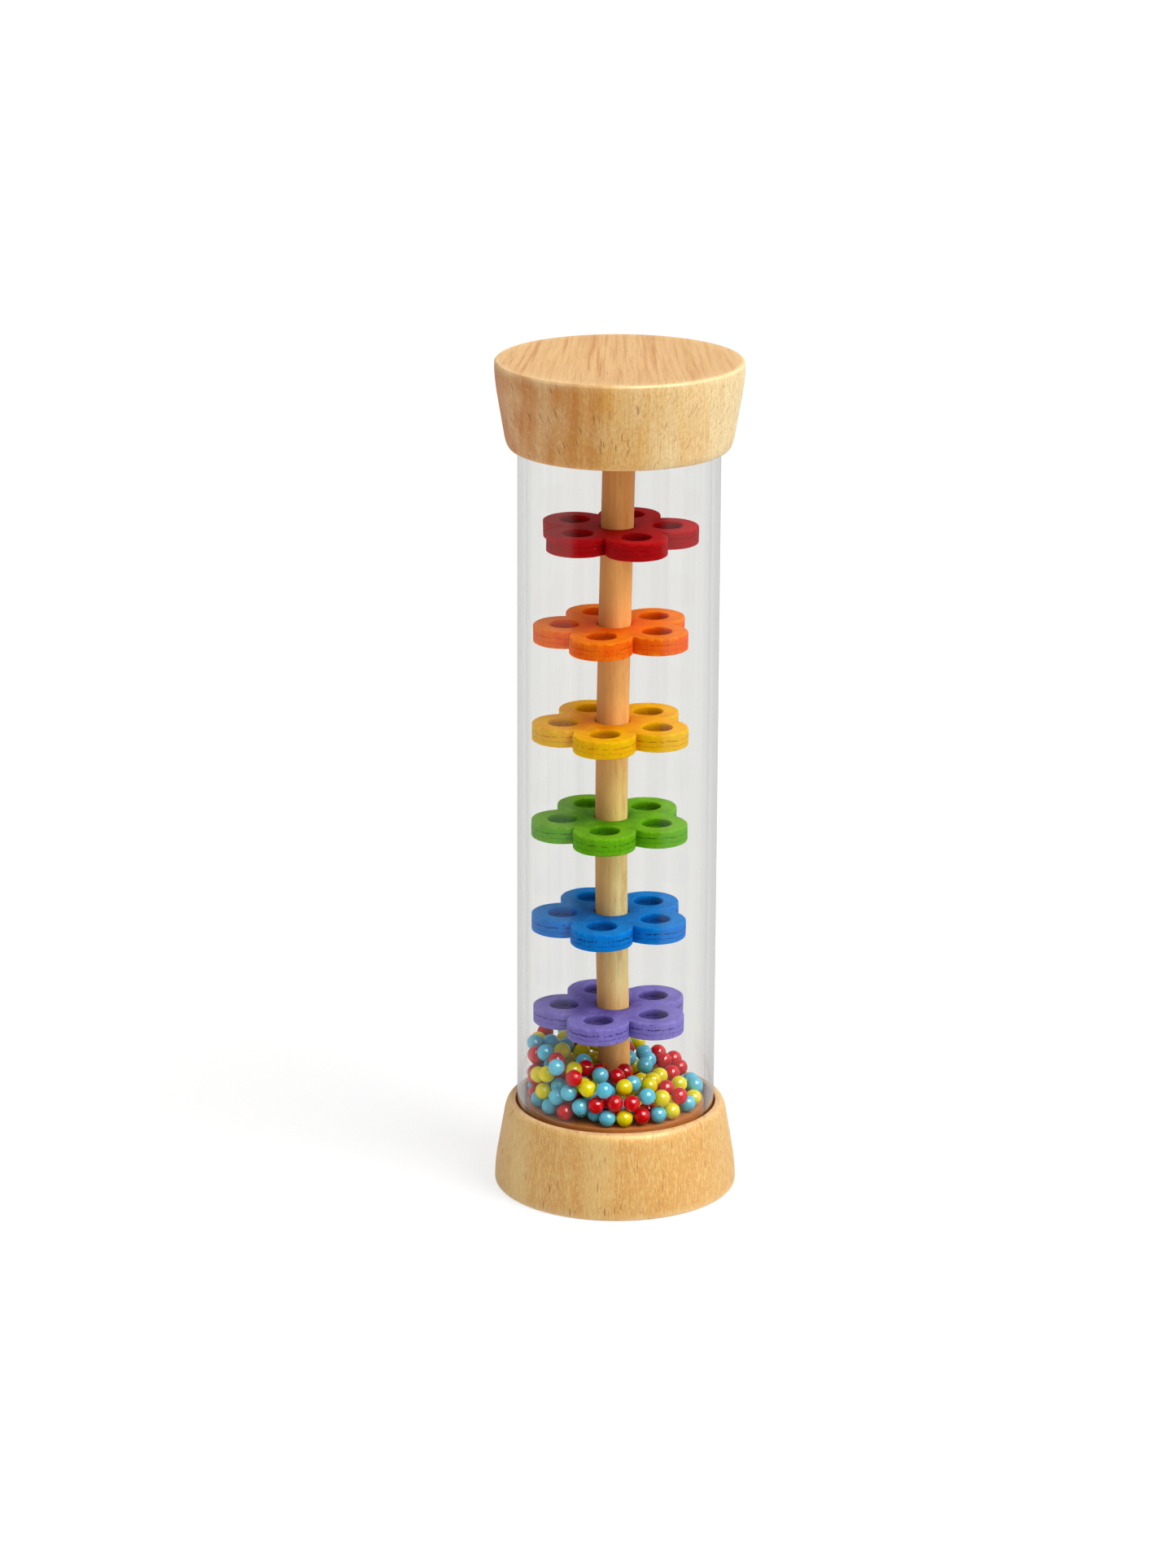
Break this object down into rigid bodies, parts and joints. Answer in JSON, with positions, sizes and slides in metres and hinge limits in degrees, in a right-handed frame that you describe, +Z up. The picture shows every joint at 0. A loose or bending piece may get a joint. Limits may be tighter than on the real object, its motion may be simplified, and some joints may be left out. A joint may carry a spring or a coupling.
{
  "type": "rainstick",
  "caption": "Clear tube between two turned beech caps; a dowel inside carries painted flower discs that small loose beads trickle through when the toy is turned over.",
  "frame": {"origin": "centre of the bottom cap's underside", "axes": "+Z up the tube's axis, +X to the right seen from the front, front faces -Y"},
  "size_m": [0.0576, 0.0576, 0.2],
  "materials": {
    "beech_cap": "turned beech, satin clear varnish",
    "clear_acrylic": "clear polished acrylic",
    "beech_rod": "bare sanded beech dowel",
    "paint_red": "plywood, matt red paint",
    "paint_orange": "plywood, matt orange paint",
    "paint_yellow": "plywood, matt yellow paint",
    "paint_green": "plywood, matt green paint",
    "paint_blue": "plywood, matt blue paint",
    "paint_purple": "plywood, matt purple paint",
    "beads_mixed": "red, yellow and sky-blue moulded beads",
    "bead_red": "glossy moulded plastic",
    "bead_yellow": "glossy moulded plastic",
    "bead_blue": "glossy moulded plastic"
  },
  "bodies": {
    "toy": {"bottom_cap": "beech_cap", "top_cap": "beech_cap", "clear_tube": "clear_acrylic", "centre_rod": "beech_rod", "disc_red": "paint_red", "disc_orange": "paint_orange", "disc_yellow": "paint_yellow", "disc_green": "paint_green", "disc_blue": "paint_blue", "disc_purple": "paint_purple", "bead_bed": "beads_mixed"},
    "bead_01": {"bead_01": "bead_yellow"},
    "bead_02": {"bead_02": "bead_blue"},
    "bead_03": {"bead_03": "bead_yellow"},
    "bead_04": {"bead_04": "bead_yellow"},
    "bead_05": {"bead_05": "bead_blue"},
    "bead_06": {"bead_06": "bead_blue"},
    "bead_07": {"bead_07": "bead_yellow"},
    "bead_08": {"bead_08": "bead_red"},
    "bead_09": {"bead_09": "bead_blue"},
    "bead_10": {"bead_10": "bead_blue"},
    "bead_11": {"bead_11": "bead_red"},
    "bead_12": {"bead_12": "bead_red"},
    "bead_13": {"bead_13": "bead_red"},
    "bead_14": {"bead_14": "bead_red"},
    "bead_15": {"bead_15": "bead_red"},
    "bead_16": {"bead_16": "bead_red"},
    "bead_17": {"bead_17": "bead_red"},
    "bead_18": {"bead_18": "bead_red"},
    "bead_19": {"bead_19": "bead_red"},
    "bead_20": {"bead_20": "bead_red"},
    "bead_21": {"bead_21": "bead_yellow"},
    "bead_22": {"bead_22": "bead_yellow"},
    "bead_23": {"bead_23": "bead_yellow"},
    "bead_24": {"bead_24": "bead_yellow"},
    "bead_25": {"bead_25": "bead_yellow"},
    "bead_26": {"bead_26": "bead_blue"},
    "bead_27": {"bead_27": "bead_blue"},
    "bead_28": {"bead_28": "bead_blue"}
  },
  "joints": [
    {"name": "bead_01_slide", "type": "slide", "parent": "toy", "child": "bead_01", "axis": [0, 0, 1], "range_m": [0, 0.1275]},
    {"name": "bead_02_slide", "type": "slide", "parent": "toy", "child": "bead_02", "axis": [0, 0, 1], "range_m": [0, 0.1243]},
    {"name": "bead_03_slide", "type": "slide", "parent": "toy", "child": "bead_03", "axis": [0, 0, 1], "range_m": [0, 0.1219]},
    {"name": "bead_04_slide", "type": "slide", "parent": "toy", "child": "bead_04", "axis": [0, 0, 1], "range_m": [0, 0.1238]},
    {"name": "bead_05_slide", "type": "slide", "parent": "toy", "child": "bead_05", "axis": [0, 0, 1], "range_m": [0, 0.1272]},
    {"name": "bead_06_slide", "type": "slide", "parent": "toy", "child": "bead_06", "axis": [0, 0, 1], "range_m": [0, 0.1301]},
    {"name": "bead_07_slide", "type": "slide", "parent": "toy", "child": "bead_07", "axis": [0, 0, 1], "range_m": [0, 0.1266]},
    {"name": "bead_08_slide", "type": "slide", "parent": "toy", "child": "bead_08", "axis": [0, 0, 1], "range_m": [0, 0.1208]},
    {"name": "bead_09_slide", "type": "slide", "parent": "toy", "child": "bead_09", "axis": [0, 0, 1], "range_m": [0, 0.1216]},
    {"name": "bead_10_slide", "type": "slide", "parent": "toy", "child": "bead_10", "axis": [0, 0, 1], "range_m": [0, 0.1272]},
    {"name": "bead_11_slide", "type": "slide", "parent": "toy", "child": "bead_11", "axis": [0, 0, 1], "range_m": [0, 0.0047]},
    {"name": "bead_12_slide", "type": "slide", "parent": "toy", "child": "bead_12", "axis": [0, 0, 1], "range_m": [0, 0.0065]},
    {"name": "bead_13_slide", "type": "slide", "parent": "toy", "child": "bead_13", "axis": [0, 0, 1], "range_m": [0, 0.0084]},
    {"name": "bead_14_slide", "type": "slide", "parent": "toy", "child": "bead_14", "axis": [0, 0, 1], "range_m": [0, 0.0114]},
    {"name": "bead_15_slide", "type": "slide", "parent": "toy", "child": "bead_15", "axis": [0, 0, 1], "range_m": [0, 0.0122]},
    {"name": "bead_16_slide", "type": "slide", "parent": "toy", "child": "bead_16", "axis": [0, 0, 1], "range_m": [0, 0.011]},
    {"name": "bead_17_slide", "type": "slide", "parent": "toy", "child": "bead_17", "axis": [0, 0, 1], "range_m": [0, 0.0113]},
    {"name": "bead_18_slide", "type": "slide", "parent": "toy", "child": "bead_18", "axis": [0, 0, 1], "range_m": [0, 0.0123]},
    {"name": "bead_19_slide", "type": "slide", "parent": "toy", "child": "bead_19", "axis": [0, 0, 1], "range_m": [0, 0.0118]},
    {"name": "bead_20_slide", "type": "slide", "parent": "toy", "child": "bead_20", "axis": [0, 0, 1], "range_m": [0, 0.009]},
    {"name": "bead_21_slide", "type": "slide", "parent": "toy", "child": "bead_21", "axis": [0, 0, 1], "range_m": [0, 0.0058]},
    {"name": "bead_22_slide", "type": "slide", "parent": "toy", "child": "bead_22", "axis": [0, 0, 1], "range_m": [0, 0.0088]},
    {"name": "bead_23_slide", "type": "slide", "parent": "toy", "child": "bead_23", "axis": [0, 0, 1], "range_m": [0, 0.0104]},
    {"name": "bead_24_slide", "type": "slide", "parent": "toy", "child": "bead_24", "axis": [0, 0, 1], "range_m": [0, 0.011]},
    {"name": "bead_25_slide", "type": "slide", "parent": "toy", "child": "bead_25", "axis": [0, 0, 1], "range_m": [0, 0.0122]},
    {"name": "bead_26_slide", "type": "slide", "parent": "toy", "child": "bead_26", "axis": [0, 0, 1], "range_m": [0, 0.0094]},
    {"name": "bead_27_slide", "type": "slide", "parent": "toy", "child": "bead_27", "axis": [0, 0, 1], "range_m": [0, 0.0101]},
    {"name": "bead_28_slide", "type": "slide", "parent": "toy", "child": "bead_28", "axis": [0, 0, 1], "range_m": [0, 0.0101]}
  ]
}
